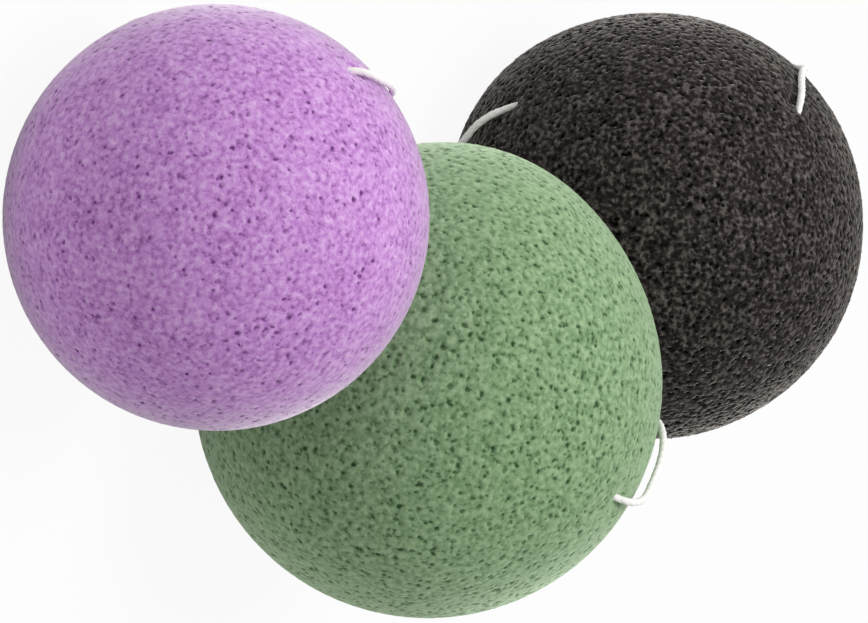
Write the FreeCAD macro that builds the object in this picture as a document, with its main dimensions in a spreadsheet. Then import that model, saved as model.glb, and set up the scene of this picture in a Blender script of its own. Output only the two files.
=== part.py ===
import FreeCAD, Part
import math
import os
import Sketcher

# Set of three konjac sponges: foam balls on small flat feet, each threaded with a knotted cotton string.
# Millimetres and degrees, +Z up, floor at zero, origin under the middle of the three balls.

Vector = FreeCAD.Vector
Rotation = FreeCAD.Rotation
Placement = FreeCAD.Placement

# Sizes of the sheet, in millimetres and degrees
SIZES = (
    ("purple_radius", 35.4),
    ("green_radius", 40.5),
    ("charcoal_radius", 38.0),
    ("purple_foot_sink", 4.96),
    ("green_foot_sink", 5.67),
    ("charcoal_foot_sink", 5.32),
    ("foot_fillet", 8.0),
    ("side_gap", 0.35),
    ("purple_bearing", -104.5),
    ("charcoal_bearing", 118.0),
    ("string_diameter", 1.3),
    ("channel_clearance", 0.05),
    ("thread_inset", 2.5),
    ("lead_out", 1.5),
    ("bore_overrun", 6.0),
    ("dimple_radius", 2.4),
    ("dimple_depth", 1.2),
    ("dimple_overrun", 1.5),
    ("knot_turns", 2.5),
    ("knot_pitch", 1.75),
    ("knot_bite", 0.05),
    ("purple_upper_bearing", 183.0),
    ("purple_upper_tilt", 34.6),
    ("purple_lower_bearing", 186.0),
    ("purple_lower_tilt", -33.0),
    ("green_upper_bearing", 29.2),
    ("green_upper_tilt", 71.2),
    ("green_lower_bearing", 40.0),
    ("green_lower_tilt", -10.0),
    ("charcoal_upper_bearing", 197.0),
    ("charcoal_upper_tilt", 43.0),
    ("charcoal_lower_bearing", 244.7),
    ("charcoal_lower_tilt", -26.3),
)

COLOURS = ("purple", "green", "charcoal")

# Routes of the strands after they leave the foam: x and y from the ball's own axis, z above the floor
ROUTES = {
    "purple_long_strand": (
        (-28.0, -0.4, 54.7), (-26.2, 3.8, 56.5), (-24.2, 9.8, 56.9), (-21.7, 16.8, 55.2),
        (-19.8, 23.4, 51.0), (-18.8, 29.0, 43.5), (-18.6, 32.0, 34.5), (-18.8, 33.2, 25.0),
        (-19.3, 33.6, 16.0), (-20.2, 34.0, 8.4), (-21.8, 35.2, 2.8), (-25.0, 38.0, 0.8),
        (-26.3, 43.5, 2.85), (-26.3, 54.5, 2.85), (-25.2, 60.5, 1.5), (-23.5, 65.0, 0.7),
    ),
    "purple_short_strand": (
        (-27.6, -1.2, 5.4), (-26.0, 2.6, 2.0), (-25.2, 9.0, 0.7), (-25.8, 16.5, 0.7),
        (-28.0, 23.8, 0.7), (-29.4, 31.0, 0.7), (-28.9, 37.5, 0.9), (-27.7, 43.5, 2.85),
        (-27.7, 54.5, 2.85), (-28.8, 60.5, 1.5), (-30.5, 65.0, 0.7),
    ),
    "green_long_strand": (
        (9.0, 6.0, 77.2), (6.0, 9.6, 78.2), (2.6, 14.8, 76.2), (-0.8, 20.0, 72.3),
        (-3.6, 25.6, 67.4), (-4.4, 31.6, 62.2), (-3.4, 37.2, 54.2), (-1.0, 41.2, 44.0),
        (2.0, 42.8, 33.0), (4.4, 43.2, 22.0), (6.0, 43.4, 11.5), (7.6, 44.3, 4.0),
        (11.5, 45.8, 0.7), (17.0, 47.2, 0.7), (21.3, 51.5, 2.85), (21.3, 62.5, 2.85),
        (20.2, 68.5, 1.5), (18.5, 73.0, 0.7),
    ),
    "green_short_strand": (
        (33.4, 28.6, 18.5), (34.6, 31.0, 10.5), (34.6, 35.0, 3.4), (32.8, 40.6, 0.7),
        (28.0, 44.6, 0.7), (24.2, 47.0, 1.0), (22.7, 51.5, 2.85), (22.7, 62.5, 2.85),
        (24.0, 68.5, 1.6), (26.0, 73.0, 0.7),
    ),
    "charcoal_long_strand": (
        (-10.5, -32.8, 11.2), (-5.5, -32.3, 8.3), (0.5, -31.8, 4.2), (7.0, -31.2, 1.0),
        (14.0, -29.0, 0.7), (20.5, -24.5, 0.7), (26.0, -18.0, 0.7), (29.5, -10.0, 0.7),
        (30.8, -1.0, 0.7), (30.0, 8.0, 0.7), (26.8, 17.0, 0.7), (21.2, 25.0, 0.7),
        (14.0, 31.5, 0.7), (6.5, 36.5, 0.7), (0.0, 40.5, 0.7), (-3.6, 45.6, 1.2),
        (-4.3, 50.5, 2.85), (-4.3, 61.5, 2.85), (-3.0, 67.5, 1.5), (-1.2, 72.0, 0.7),
    ),
    "charcoal_short_strand": (
        (-28.3, -5.5, 60.0), (-30.8, -2.2, 57.4), (-34.0, 3.6, 52.9), (-36.0, 10.6, 46.5),
        (-35.8, 17.4, 39.0), (-34.4, 22.2, 30.5), (-32.8, 25.5, 21.5), (-31.0, 28.5, 12.4),
        (-28.5, 32.0, 4.6), (-25.0, 37.0, 0.7), (-19.5, 41.5, 0.7), (-13.5, 43.5, 0.7),
        (-8.5, 45.6, 0.9), (-5.7, 50.5, 2.85), (-5.7, 61.5, 2.85), (-7.0, 67.5, 1.5),
        (-8.8, 72.0, 0.7),
    ),
}

# Ball that each strand belongs to, and the exit that it leaves by
STRAND_EXITS = {
    "purple_long_strand": ("purple", "upper"),
    "purple_short_strand": ("purple", "lower"),
    "green_long_strand": ("green", "upper"),
    "green_short_strand": ("green", "lower"),
    "charcoal_long_strand": ("charcoal", "lower"),
    "charcoal_short_strand": ("charcoal", "upper"),
}

doc = FreeCAD.newDocument("konjac_sponges")
sheet = doc.addObject("Spreadsheet::Sheet", "Sizes")
for row, (alias, value) in enumerate(SIZES, start=1):
    sheet.set("A" + str(row), alias)
    sheet.set("B" + str(row), str(value))
    sheet.setAlias("B" + str(row), alias)
doc.recompute()


def size(alias):
    """Value of one aliased cell."""
    return float(sheet.get(alias))


def centre_height(colour):
    """Height of a ball's centre: its radius less what the foot flattens."""
    return size(colour + "_radius") - size(colour + "_foot_sink")


# Plan of the set: green in the middle, its neighbours a touching distance away
def plan_centres():
    """Centre of each ball, with the set's box centred on the origin."""
    centres = {"green": Vector(0, 0, centre_height("green"))}
    for colour in ("purple", "charcoal"):
        reach = size(colour + "_radius") + size("green_radius") + size("side_gap")
        rise = centre_height(colour) - centre_height("green")
        away = math.sqrt(reach * reach - rise * rise)
        bearing = math.radians(size(colour + "_bearing"))
        spot = Vector(away * math.cos(bearing), away * math.sin(bearing), centre_height(colour))
        centres[colour] = spot
    low_x = min(centres[c].x - size(c + "_radius") for c in COLOURS)
    high_x = max(centres[c].x + size(c + "_radius") for c in COLOURS)
    low_y = min(centres[c].y - size(c + "_radius") for c in COLOURS)
    high_y = max(centres[c].y + size(c + "_radius") for c in COLOURS)
    shift = Vector(-(low_x + high_x) / 2, -(low_y + high_y) / 2, 0)
    return {colour: centre + shift for colour, centre in centres.items()}


CENTRES = plan_centres()


def exit_normal(colour, end):
    """Unit vector from the ball's centre to one exit of its string."""
    bearing = math.radians(size(colour + "_" + end + "_bearing"))
    tilt = math.radians(size(colour + "_" + end + "_tilt"))
    return Vector(math.cos(tilt) * math.cos(bearing), math.cos(tilt) * math.sin(bearing), math.sin(tilt))


def exit_point(colour, end):
    """Exit of the string on the ball, from the ball's centre."""
    return exit_normal(colour, end) * size(colour + "_radius")


def chord_text(colour):
    """Expression for the distance between the two exits of one ball."""
    upper = "Sizes." + colour + "_upper_"
    lower = "Sizes." + colour + "_lower_"
    flat = "cos(" + upper + "tilt) * cos(" + lower + "tilt)"
    turn = "cos(" + upper + "bearing - " + lower + "bearing)"
    rise = "sin(" + upper + "tilt) * sin(" + lower + "tilt)"
    return "Sizes." + colour + "_radius * sqrt(2 - 2 * (" + flat + " * " + turn + " + " + rise + "))"


def origin_plane(body, role):
    """Origin plane of a body by its role."""
    return [item for item in body.Origin.OriginFeatures if item.Role == role][0]


def closed_sketch(body, name, role, offset, corners):
    """Sketch on an origin plane with a closed loop of straight lines."""
    sketch = body.newObject("Sketcher::SketchObject", name)
    sketch.AttachmentSupport = [(origin_plane(body, role), "")]
    sketch.MapMode = "FlatFace"
    sketch.AttachmentOffset = offset
    count = len(corners)
    for index in range(count):
        start = Vector(corners[index][0], corners[index][1], 0)
        end = Vector(corners[(index + 1) % count][0], corners[(index + 1) % count][1], 0)
        sketch.addGeometry(Part.LineSegment(start, end), False)
    for index in range(count):
        sketch.addConstraint(Sketcher.Constraint("Coincident", index, 2, (index + 1) % count, 1))
    return sketch


def bind(sketch, constraint, name, text):
    """Add a dimension to a sketch and drive it from the sheet."""
    index = sketch.addConstraint(constraint)
    sketch.renameConstraint(index, name)
    sketch.setExpression("Constraints." + name, text)


def revolve(body, kind, name, sketch):
    """Turn a sketch once round its own vertical axis."""
    feature = body.newObject(kind, name)
    feature.Profile = sketch
    feature.ReferenceAxis = (sketch, ["V_Axis"])
    feature.Angle = 360.0
    sketch.Visibility = False
    doc.recompute()
    return feature


# Foam balls
def ball_outline(body, colour):
    """Half section of the ball: flat foot, rounded edge, ball and axis."""
    radius = size(colour + "_radius")
    height = centre_height(colour)
    fillet = size("foot_fillet")
    flat = math.sqrt((radius - fillet) ** 2 - (height - fillet) ** 2)
    tangent = math.atan2(fillet - height, flat)
    sketch = body.newObject("Sketcher::SketchObject", colour + "_outline")
    sketch.AttachmentSupport = [(origin_plane(body, "XZ_Plane"), "")]
    sketch.MapMode = "FlatFace"
    edge = Part.Circle(Vector(flat, fillet - height, 0), Vector(0, 0, 1), fillet)
    ball = Part.Circle(Vector(0, 0, 0), Vector(0, 0, 1), radius)
    sketch.addGeometry(Part.LineSegment(Vector(0, -height, 0), Vector(flat, -height, 0)), False)
    sketch.addGeometry(Part.ArcOfCircle(edge, -math.pi / 2, tangent), False)
    sketch.addGeometry(Part.ArcOfCircle(ball, tangent, math.pi / 2), False)
    sketch.addGeometry(Part.LineSegment(Vector(0, radius, 0), Vector(0, -height, 0)), False)
    sketch.addConstraint(Sketcher.Constraint("Tangent", 0, 2, 1, 1))
    sketch.addConstraint(Sketcher.Constraint("Tangent", 1, 2, 2, 1))
    sketch.addConstraint(Sketcher.Constraint("Coincident", 2, 2, 3, 1))
    sketch.addConstraint(Sketcher.Constraint("Coincident", 3, 2, 0, 1))
    sketch.addConstraint(Sketcher.Constraint("Coincident", 2, 3, -1, 1))
    sketch.addConstraint(Sketcher.Constraint("PointOnObject", 3, 1, -2))
    sketch.addConstraint(Sketcher.Constraint("PointOnObject", 3, 2, -2))
    sketch.addConstraint(Sketcher.Constraint("Horizontal", 0))
    bind(sketch, Sketcher.Constraint("Radius", 2, radius), "ball_radius", "Sizes." + colour + "_radius")
    bind(sketch, Sketcher.Constraint("Radius", 1, fillet), "edge_radius", "Sizes.foot_fillet")
    rise = Sketcher.Constraint("DistanceY", 0, 1, -1, 1, height)
    rise_text = "Sizes." + colour + "_radius - Sizes." + colour + "_foot_sink"
    bind(sketch, rise, "centre_height", rise_text)
    return sketch


def bore_outline(body, colour):
    """Half section of the straight channel that the string runs through."""
    upper = exit_point(colour, "upper")
    lower = exit_point(colour, "lower")
    along = upper - lower
    half = along.Length / 2 + size("bore_overrun")
    wide = size("string_diameter") / 2 + size("channel_clearance")
    offset = Placement((upper + lower) * 0.5, Rotation(Vector(0, 1, 0), along))
    corners = ((0, -half), (wide, -half), (wide, half), (0, half))
    sketch = closed_sketch(body, colour + "_channel_outline", "XY_Plane", offset, corners)
    sketch.addConstraint(Sketcher.Constraint("Horizontal", 0))
    sketch.addConstraint(Sketcher.Constraint("PointOnObject", 3, 2, -2))
    sketch.addConstraint(Sketcher.Constraint("Horizontal", 2))
    sketch.addConstraint(Sketcher.Constraint("PointOnObject", 3, 1, -2))
    sketch.addConstraint(Sketcher.Constraint("Symmetric", 1, 1, 1, 2, -1))
    wide_text = "Sizes.string_diameter / 2 + Sizes.channel_clearance"
    bind(sketch, Sketcher.Constraint("DistanceX", 0, 1, 0, 2, wide), "channel_radius", wide_text)
    long_text = chord_text(colour) + " + 2 * Sizes.bore_overrun"
    bind(sketch, Sketcher.Constraint("DistanceY", 1, 1, 1, 2, 2 * half), "channel_length", long_text)
    return sketch


def dimple_outline(body, colour, end):
    """Half section of the shallow dent that the string pulls in the foam."""
    wide = size("dimple_radius")
    deep = size("dimple_depth")
    over = size("dimple_overrun")
    top = wide * (deep + over) / deep
    offset = Placement(exit_point(colour, end), Rotation(Vector(0, 1, 0), exit_normal(colour, end)))
    name = colour + "_" + end + "_dimple_outline"
    sketch = closed_sketch(body, name, "XY_Plane", offset, ((0, -deep), (top, over), (0, over)))
    sketch.addConstraint(Sketcher.Constraint("Horizontal", 1))
    sketch.addConstraint(Sketcher.Constraint("PointOnObject", 2, 1, -2))
    sketch.addConstraint(Sketcher.Constraint("PointOnObject", 2, 2, -2))
    bind(sketch, Sketcher.Constraint("DistanceY", 0, 1, -1, 1, deep), "depth", "Sizes.dimple_depth")
    bind(sketch, Sketcher.Constraint("DistanceY", -1, 1, 1, 2, over), "overrun", "Sizes.dimple_overrun")
    wide_text = "Sizes.dimple_radius * (Sizes.dimple_depth + Sizes.dimple_overrun) / Sizes.dimple_depth"
    bind(sketch, Sketcher.Constraint("DistanceX", 2, 1, 1, 1, top), "mouth", wide_text)
    return sketch


def foam_ball(colour):
    """One sponge: the ball with its channel and the dent at each exit."""
    body = doc.addObject("PartDesign::Body", colour + "_sponge")
    body.Label = colour + "_sponge"
    ball = revolve(body, "PartDesign::Revolution", colour + "_ball", ball_outline(body, colour))
    volume = ball.Shape.Volume
    channel = revolve(body, "PartDesign::Groove", colour + "_channel", bore_outline(body, colour))
    if not volume - channel.Shape.Volume > 20:
        raise ValueError(colour + " channel took nothing")
    volume = channel.Shape.Volume
    for end in ("upper", "lower"):
        outline = dimple_outline(body, colour, end)
        dent = revolve(body, "PartDesign::Groove", colour + "_" + end + "_dimple", outline)
        if not volume - dent.Shape.Volume > 2:
            raise ValueError(colour + " " + end + " dimple took nothing")
        volume = dent.Shape.Volume
    body.Placement = Placement(CENTRES[colour], Rotation())
    return body


# String through the foam
def threaded_run(colour):
    """Straight run of string inside the channel."""
    upper = exit_point(colour, "upper")
    lower = exit_point(colour, "lower")
    along = (upper - lower).normalize()
    run = doc.addObject("Part::Cylinder", colour + "_threaded_run")
    run.Label = colour + "_threaded_run"
    run.setExpression("Radius", "Sizes.string_diameter / 2")
    run.setExpression("Height", chord_text(colour) + " - 2 * Sizes.thread_inset")
    start = CENTRES[colour] + lower + along * size("thread_inset")
    run.Placement = Placement(start, Rotation(Vector(0, 0, 1), along))
    return run


# Tubes on straight runs and arcs
def arc_edges(points):
    """Straight runs joined by tangent arcs, and the arcs' radii."""
    edges = []
    radii = []
    here = points[0]
    for index in range(1, len(points) - 1):
        before = points[index] - points[index - 1]
        after = points[index + 1] - points[index]
        cut = 0.45 * min(before.Length, after.Length)
        before.normalize()
        after.normalize()
        turn = before.getAngle(after)
        radius = cut / math.tan(turn / 2)
        first = points[index] - before * cut
        last = points[index] + after * cut
        inward = (after - before).normalize()
        middle = points[index] + inward * (radius / math.cos(turn / 2) - radius)
        edges.append(Part.LineSegment(here, first).toShape())
        edges.append(Part.Arc(first, middle, last).toShape())
        radii.append(radius)
        here = last
    edges.append(Part.LineSegment(here, points[-1]).toShape())
    return edges, radii


def arc_from_tangent(start, tangent, end):
    """Arc from a point, along a tangent, to another point."""
    chord = end - start
    across = tangent.cross(chord).cross(tangent).normalize()
    radius = chord.dot(chord) / (2 * chord.dot(across))
    centre = start + across * radius
    middle = centre + ((start + end) * 0.5 - centre).normalize() * radius
    return Part.Arc(start, middle, end).toShape(), radius


def biarc_edges(start, start_tangent, end, end_tangent):
    """Two tangent arcs between two points with given directions."""
    chord = end - start
    bend = 2 * (1 - start_tangent.dot(end_tangent))
    lean = 2 * chord.dot(start_tangent + end_tangent)
    reach = (-lean + math.sqrt(lean * lean + 4 * bend * chord.dot(chord))) / (2 * bend)
    joint = (start + start_tangent * reach + end - end_tangent * reach) * 0.5
    first, first_radius = arc_from_tangent(start, start_tangent, joint)
    last, last_radius = arc_from_tangent(end, end_tangent * -1, joint)
    back = Part.Arc(joint, last.valueAt((last.FirstParameter + last.LastParameter) / 2), end).toShape()
    return [first, back], [first_radius, last_radius]


def self_gap(wire, diameter, apart):
    """Least gap between stretches of a tube that are well apart along it."""
    count = max(60, int(wire.Length / 0.5))
    points = wire.discretize(Number=count)
    step = wire.Length / (count - 1)
    skip = int(apart / step) + 1
    least = 1.0e9
    for first in range(0, count - skip):
        for second in range(first + skip, count):
            least = min(least, points[first].distanceToPoint(points[second]))
    return least - diameter


def tube(name, edges, radii, apart):
    """Round tube of string along a wire, as a sweep of a circle."""
    wire = Part.Wire(edges)
    path = doc.addObject("Part::Feature", name + "_path")
    path.Shape = wire
    section = doc.addObject("Part::Circle", name + "_section")
    section.setExpression("Radius", "Sizes.string_diameter / 2")
    ahead = (edges[0].Vertexes[-1].Point - edges[0].Vertexes[0].Point).normalize()
    section.Placement = Placement(edges[0].Vertexes[0].Point, Rotation(Vector(0, 0, 1), ahead))
    doc.recompute()
    sweep = doc.addObject("Part::Sweep", name)
    sweep.Label = name
    sweep.Sections = [section]
    sweep.Spine = (path, ["Edge" + str(index + 1) for index in range(len(edges))])
    sweep.Solid = True
    sweep.Frenet = False
    sweep.Transition = "Transformed"
    doc.recompute()
    ideal = math.pi * (size("string_diameter") / 2) ** 2 * wire.Length
    share = sweep.Shape.Volume / ideal
    gap = self_gap(wire, size("string_diameter"), apart)
    words = "%s: length %.1f, least radius %.2f, volume share %.4f, least gap to itself %.2f"
    print(words % (name, wire.Length, min(radii), share, gap))
    if abs(share - 1) > 0.02:
        raise ValueError(name + " tube has the wrong volume")
    return sweep


def strand_points(name):
    """Whole route of one strand in the set's frame."""
    colour, end = STRAND_EXITS[name]
    other = "lower" if end == "upper" else "upper"
    mouth = exit_point(colour, end)
    outward = (mouth - exit_point(colour, other)).normalize()
    start = CENTRES[colour] + mouth - outward * size("thread_inset")
    lead = CENTRES[colour] + mouth + outward * size("lead_out")
    foot = Vector(CENTRES[colour].x, CENTRES[colour].y, 0)
    return [start, lead] + [foot + Vector(*point) for point in ROUTES[name]]


def strand(name):
    """One free strand of the string, from inside its exit to its cut end."""
    edges, radii = arc_edges(strand_points(name))
    return tube(name, edges, radii, 6 * size("string_diameter"))


def knot(colour):
    """Turns of string round the straight stretch where the two strands lie side by side."""
    names = [colour + "_long_strand", colour + "_short_strand"]
    inner = [strand_points(name)[-4:-2] for name in names]
    middle = (inner[0][0] + inner[0][1] + inner[1][0] + inner[1][1]) * 0.25
    spacing = inner[0][0].distanceToPoint(inner[1][0])
    diameter = size("string_diameter")
    radius = spacing / 2 + diameter - size("knot_bite")
    pitch = size("knot_pitch")
    turns = size("knot_turns")
    quarters = int(round(turns * 4))
    points = []
    tangents = []
    for index in range(quarters + 1):
        angle = index * math.pi / 2
        along = pitch * (index / 4 - turns / 2)
        points.append(middle + Vector(radius * math.cos(angle), along, radius * math.sin(angle)))
        slope = Vector(-radius * math.sin(angle), pitch / (2 * math.pi), radius * math.cos(angle))
        tangents.append(slope.normalize())
    edges = [Part.LineSegment(points[0] - tangents[0] * diameter, points[0]).toShape()]
    radii = []
    for index in range(quarters):
        pair, pair_radii = biarc_edges(points[index], tangents[index], points[index + 1], tangents[index + 1])
        edges.extend(pair)
        radii.extend(pair_radii)
    edges.append(Part.LineSegment(points[-1], points[-1] + tangents[-1] * diameter).toShape())
    return tube(colour + "_knot", edges, radii, 5 * diameter)


pieces = []
for shade in COLOURS:
    pieces.append(foam_ball(shade))
    pieces.append(threaded_run(shade))
    pieces.append(strand(shade + "_long_strand"))
    pieces.append(strand(shade + "_short_strand"))
    pieces.append(knot(shade))
doc.recompute()

# Every object is sound, and each piece is one closed solid
for item in doc.Objects:
    if "Invalid" in item.State or "Error" in item.State:
        raise ValueError(item.Label + " did not build")
    if hasattr(item, "Shape") and not item.Shape.isNull() and not item.Shape.isValid():
        raise ValueError(item.Label + " is not a sound shape")

os.makedirs("parts", exist_ok=True)
for piece in pieces:
    if len(piece.Shape.Solids) != 1:
        raise ValueError(piece.Label + " is not one solid")
    box = piece.Shape.BoundBox
    words = "%s: volume %.1f, x %.2f to %.2f, y %.2f to %.2f, z %.2f to %.2f"
    limits = (box.XMin, box.XMax, box.YMin, box.YMax, box.ZMin, box.ZMax)
    print(words % ((piece.Label, piece.Shape.Volume) + limits))
    piece.Shape.exportStep("parts/" + piece.Label + ".step")
for shade in COLOURS:
    for where in ("upper", "lower"):
        place = CENTRES[shade] + exit_point(shade, where)
        print("%s %s exit: %.3f %.3f %.3f" % (shade, where, place.x, place.y, place.z))
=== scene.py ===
"""Looks of a set of three konjac sponges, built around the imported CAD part.

Each sponge is an open-pored foam ball on a small flat foot, threaded with a twisted cotton string whose
ends are tied into a loop by a barrel knot. Lengths are in metres unless a name says millimetres.
"""

from __future__ import annotations

import logging
import math
from dataclasses import dataclass, field
from enum import Enum

import bpy
import numpy as np
from mathutils import Matrix, Vector

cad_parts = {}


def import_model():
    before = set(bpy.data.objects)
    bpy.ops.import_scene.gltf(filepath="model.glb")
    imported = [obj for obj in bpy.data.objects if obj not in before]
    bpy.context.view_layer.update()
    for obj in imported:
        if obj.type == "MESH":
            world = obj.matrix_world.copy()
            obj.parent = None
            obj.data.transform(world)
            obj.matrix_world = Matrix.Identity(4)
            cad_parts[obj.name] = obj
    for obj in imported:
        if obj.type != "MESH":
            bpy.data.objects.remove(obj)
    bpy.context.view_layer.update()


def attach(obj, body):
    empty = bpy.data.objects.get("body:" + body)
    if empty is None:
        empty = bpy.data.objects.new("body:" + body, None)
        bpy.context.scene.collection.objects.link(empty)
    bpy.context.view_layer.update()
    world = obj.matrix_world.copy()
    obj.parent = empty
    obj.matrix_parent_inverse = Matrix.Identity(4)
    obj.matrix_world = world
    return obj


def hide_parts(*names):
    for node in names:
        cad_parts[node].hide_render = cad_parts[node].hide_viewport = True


LOG = logging.getLogger("konjac_sponges")

Point = tuple[float, float, float]
Colour = tuple[float, float, float]

MM_PER_M = 1000.0
M_PER_MM = 0.001

# Mesh attributes that the materials read
REST_PLACE = "rest_place"
STRAND_RUN = "strand_run"

# String and the lines that it follows
STRING_DIAMETER = 0.0013
THREAD_INSET = 0.0025
THREADED_RUN_POINTS = 120
ROUTE_ORDER = 3
ROUTE_RESOLUTION = 24
FEWEST_LINE_POINTS = 8
SHORTEST_STEP = 1e-9

# Pores, of which the large and the deep ones are rarer
PORE_SIZE_POWER = 1.5
PORE_DEPTH_POWER = 2.0
WARP_MM = 0.9
GRAIN_HEIGHT = 0.00015
NOISE_MIDDLE = 0.5

# Least slope at which a direction from a ball's centre can meet the flat foot
LEAST_DROP = 1e-6

# UV map of a ball, three by two tiles with a margin in each
UV_COLUMNS = 3.0
UV_ROWS = 2.0
UV_TILE_REACH = 0.48


class Exit(Enum):
    """The two places where a string leaves its ball."""

    UPPER = "upper"
    LOWER = "lower"

    @property
    def other(self) -> "Exit":
        """The exit at the other end of the channel."""
        return Exit.LOWER if self is Exit.UPPER else Exit.UPPER


def deselect_everything() -> None:
    """Leave edit mode and deselect all objects, the CAD nodes among them."""
    if bpy.context.object is not None and bpy.context.object.mode != "OBJECT":
        bpy.ops.object.mode_set(mode="OBJECT")
    bpy.ops.object.select_all(action="DESELECT")


def make_active(piece: bpy.types.Object) -> None:
    """Select one object alone and make it the active one.

    Args:
        piece: Object that the next operators act on.
    """
    deselect_everything()
    piece.select_set(True)
    bpy.context.view_layer.objects.active = piece


def vertex_places(mesh: bpy.types.Mesh) -> np.ndarray:
    """Read the places of a mesh's vertices.

    Args:
        mesh: Mesh to read.

    Returns:
        Points, one a row.
    """
    flat = np.empty(len(mesh.vertices) * 3, np.float32)
    mesh.vertices.foreach_get("co", flat)
    return flat.reshape(-1, 3)


def lengths_along(line: np.ndarray) -> np.ndarray:
    """Measure along a line.

    Args:
        line: Points, one a row.

    Returns:
        Distance of each point from the first.
    """
    steps = np.linalg.norm(np.diff(line, axis=0), axis=1)
    return np.concatenate([[0.0], np.cumsum(steps)])


@dataclass(frozen=True)
class NoisePattern:
    """Scale and octaves of a noise texture.

    Attributes:
        scale: Features per unit of its coordinates.
        detail: Octaves.
        rough: Strength of the finer octaves.
    """

    scale: float
    detail: float
    rough: float = 0.5


# Noises of the foam, per millimetre
WARP = NoisePattern(scale=1.1, detail=1.0)
CLOUD = NoisePattern(scale=0.16, detail=3.0, rough=0.55)
GRAIN = NoisePattern(scale=3.0, detail=2.0, rough=0.6)
SKIN_DETAIL = 1.5
SKIN_ROUGH = 0.45


class NodeBench:
    """Short ways to lay out nodes, alike in a material and in a geometry tree."""

    def __init__(self, tree: bpy.types.NodeTree) -> None:
        """Keep the tree that nodes are added to."""
        self.tree = tree

    def add(self, kind: str, **settings: object) -> bpy.types.Node:
        """Add a node.

        Args:
            kind: Blender's name for the node.
            settings: Node properties to set.

        Returns:
            The new node.
        """
        node = self.tree.nodes.new(kind)
        for name, value in settings.items():
            setattr(node, name, value)
        return node

    def feed(self, socket: bpy.types.NodeSocket, value: object) -> None:
        """Link a socket to an output, or set it to a plain value.

        Args:
            socket: Input to fill.
            value: Output socket, number, vector or colour.
        """
        if isinstance(value, bpy.types.NodeSocket):
            self.tree.links.new(value, socket)
        else:
            socket.default_value = value

    def math(self, operation: str, *values: object) -> bpy.types.NodeSocket:
        """Add a Math node and return its result.

        Args:
            operation: Blender's name for the sum.
            values: One to three numbers or outputs.

        Returns:
            Output socket.
        """
        node = self.add("ShaderNodeMath", operation=operation)
        for socket, value in zip(node.inputs, values):
            self.feed(socket, value)
        return node.outputs[0]

    def ramp(
        self, value: object, low: object, high: object, to_low: object, to_high: object
    ) -> bpy.types.NodeSocket:
        """Map a value smoothly from one range to another.

        Args:
            value: What is mapped.
            low: Value that gives to_low.
            high: Value that gives to_high.
            to_low: Result at low.
            to_high: Result at high.

        Returns:
            Output socket.
        """
        node = self.add("ShaderNodeMapRange", interpolation_type="SMOOTHSTEP")
        for socket, filled in zip(node.inputs[:5], (value, low, high, to_low, to_high)):
            self.feed(socket, filled)
        return node.outputs[0]

    def scaled(self, vector: bpy.types.NodeSocket, factor: float) -> bpy.types.NodeSocket:
        """Scale a vector by one number.

        Args:
            vector: Vector output.
            factor: Scale.

        Returns:
            Output socket.
        """
        node = self.add("ShaderNodeVectorMath", operation="SCALE")
        self.feed(node.inputs[0], vector)
        node.inputs["Scale"].default_value = factor
        return node.outputs[0]

    def noise(self, vector: bpy.types.NodeSocket, pattern: NoisePattern) -> bpy.types.Node:
        """Add a noise texture.

        Args:
            vector: Coordinates.
            pattern: Scale and octaves.

        Returns:
            The node, for its Fac and Color outputs.
        """
        node = self.add("ShaderNodeTexNoise")
        self.feed(node.inputs["Vector"], vector)
        node.inputs["Scale"].default_value = pattern.scale
        node.inputs["Detail"].default_value = pattern.detail
        node.inputs["Roughness"].default_value = pattern.rough
        return node

    def mix(self, factor: object, first: object, second: object, blend: str = "MIX") -> bpy.types.NodeSocket:
        """Mix two colours.

        Args:
            factor: Share of the second colour.
            first: Colour or colour output.
            second: Colour or colour output.
            blend: Blend mode.

        Returns:
            Colour output.
        """
        node = self.add("ShaderNodeMix", data_type="RGBA", blend_type=blend)
        self.feed(node.inputs[0], factor)
        for socket, value in ((node.inputs[6], first), (node.inputs[7], second)):
            self.feed(socket, value if isinstance(value, bpy.types.NodeSocket) else (*value, 1.0))
        return node.outputs[2]


@dataclass(frozen=True)
class PoreLayer:
    """One size of pore in the foam, or of wall tip, in millimetres.

    Attributes:
        cell: Mean distance between pores in space.
        smallest: Radius of the smallest pore, as a share of the cell.
        largest: Radius of the largest pore, as a share of the cell.
        depth: How far down a pore goes, negative for a tip that stands out.
        soft: Width of a pore's sloping edge, as a share of its radius.
        fade: How much the shallowest pores fall short of the deepest.
        shade: How much painted shade darkens a pore, negative for a painted highlight that lightens a tip.
    """

    cell: float
    smallest: float
    largest: float
    depth: float
    soft: float
    fade: float
    shade: float

    def mask(self, bench: NodeBench, place: bpy.types.NodeSocket) -> bpy.types.NodeSocket:
        """Lay out the layer's pores.

        Args:
            bench: Tree to add to.
            place: Coordinates in millimetres.

        Returns:
            Output that is 1 in the middle of a pore and 0 outside.
        """
        cells = bench.add("ShaderNodeTexVoronoi", feature="F1", voronoi_dimensions="3D")
        bench.feed(cells.inputs["Vector"], place)
        cells.inputs["Scale"].default_value = 1.0 / self.cell
        cells.inputs["Randomness"].default_value = 1.0
        parts = bench.add("ShaderNodeSeparateXYZ")
        bench.feed(parts.inputs[0], cells.outputs["Color"])
        chance = bench.math("POWER", parts.outputs[0], PORE_SIZE_POWER)
        spread = bench.math("MULTIPLY", chance, self.largest - self.smallest)
        radius = bench.math("ADD", spread, self.smallest)
        inner = bench.math("MULTIPLY", radius, 1.0 - self.soft)
        strong = bench.math("POWER", parts.outputs[1], PORE_DEPTH_POWER)
        peak = bench.math("MULTIPLY_ADD", strong, self.fade, 1.0 - self.fade)
        return bench.ramp(cells.outputs["Distance"], inner, radius, peak, 0.0)


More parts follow.
